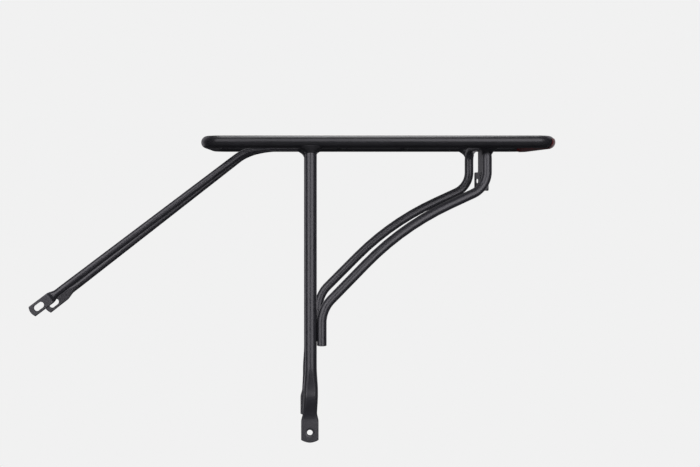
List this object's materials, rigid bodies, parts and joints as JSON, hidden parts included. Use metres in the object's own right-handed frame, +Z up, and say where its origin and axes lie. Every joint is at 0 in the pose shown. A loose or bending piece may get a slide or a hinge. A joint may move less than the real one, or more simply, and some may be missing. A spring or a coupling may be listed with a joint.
{
  "type": "bicycle rear rack",
  "caption": "Black rear carrier of bent round tube: a closed deck rail on cross rods, legs with bored feet, a curved rear hoop, slotted front stays and a lamp plate.",
  "frame": {"origin": "midpoint between the two foot bolt holes, on the bicycle's centre plane", "axes": "+X towards the rear of the bicycle, +Y to its right side, +Z up; the deck is level"},
  "size_m": [0.6785, 0.1572, 0.3874],
  "materials": {
    "powder_coat": "satin black powder coat",
    "weld_bead": "satin black powder coat over a rippled bead",
    "reflective_film": "glossy red reflective film"
  },
  "bodies": {
    "root": {"deck_loop": "powder_coat", "deck_rod_front": "powder_coat", "deck_rod_middle": "powder_coat", "deck_rod_rear": "powder_coat", "front_stay_left": "powder_coat", "front_stay_right": "powder_coat", "lamp_bracket": "powder_coat", "leg_left": "powder_coat", "leg_right": "powder_coat", "rear_hoop": "powder_coat", "hoop_foot_weld_left": "weld_bead", "hoop_foot_weld_right": "weld_bead", "hoop_weld_left": "weld_bead", "hoop_weld_right": "weld_bead", "lamp_bracket_weld": "weld_bead", "leg_weld_left": "weld_bead", "leg_weld_right": "weld_bead", "rod_weld_front_left": "weld_bead", "rod_weld_front_right": "weld_bead", "rod_weld_middle_left": "weld_bead", "rod_weld_middle_right": "weld_bead", "rod_weld_rear_left": "weld_bead", "rod_weld_rear_right": "weld_bead", "stay_weld_left_front": "weld_bead", "stay_weld_left_rear": "weld_bead", "stay_weld_right_front": "weld_bead", "stay_weld_right_rear": "weld_bead", "rear_reflector": "reflective_film"}
  },
  "joints": []
}
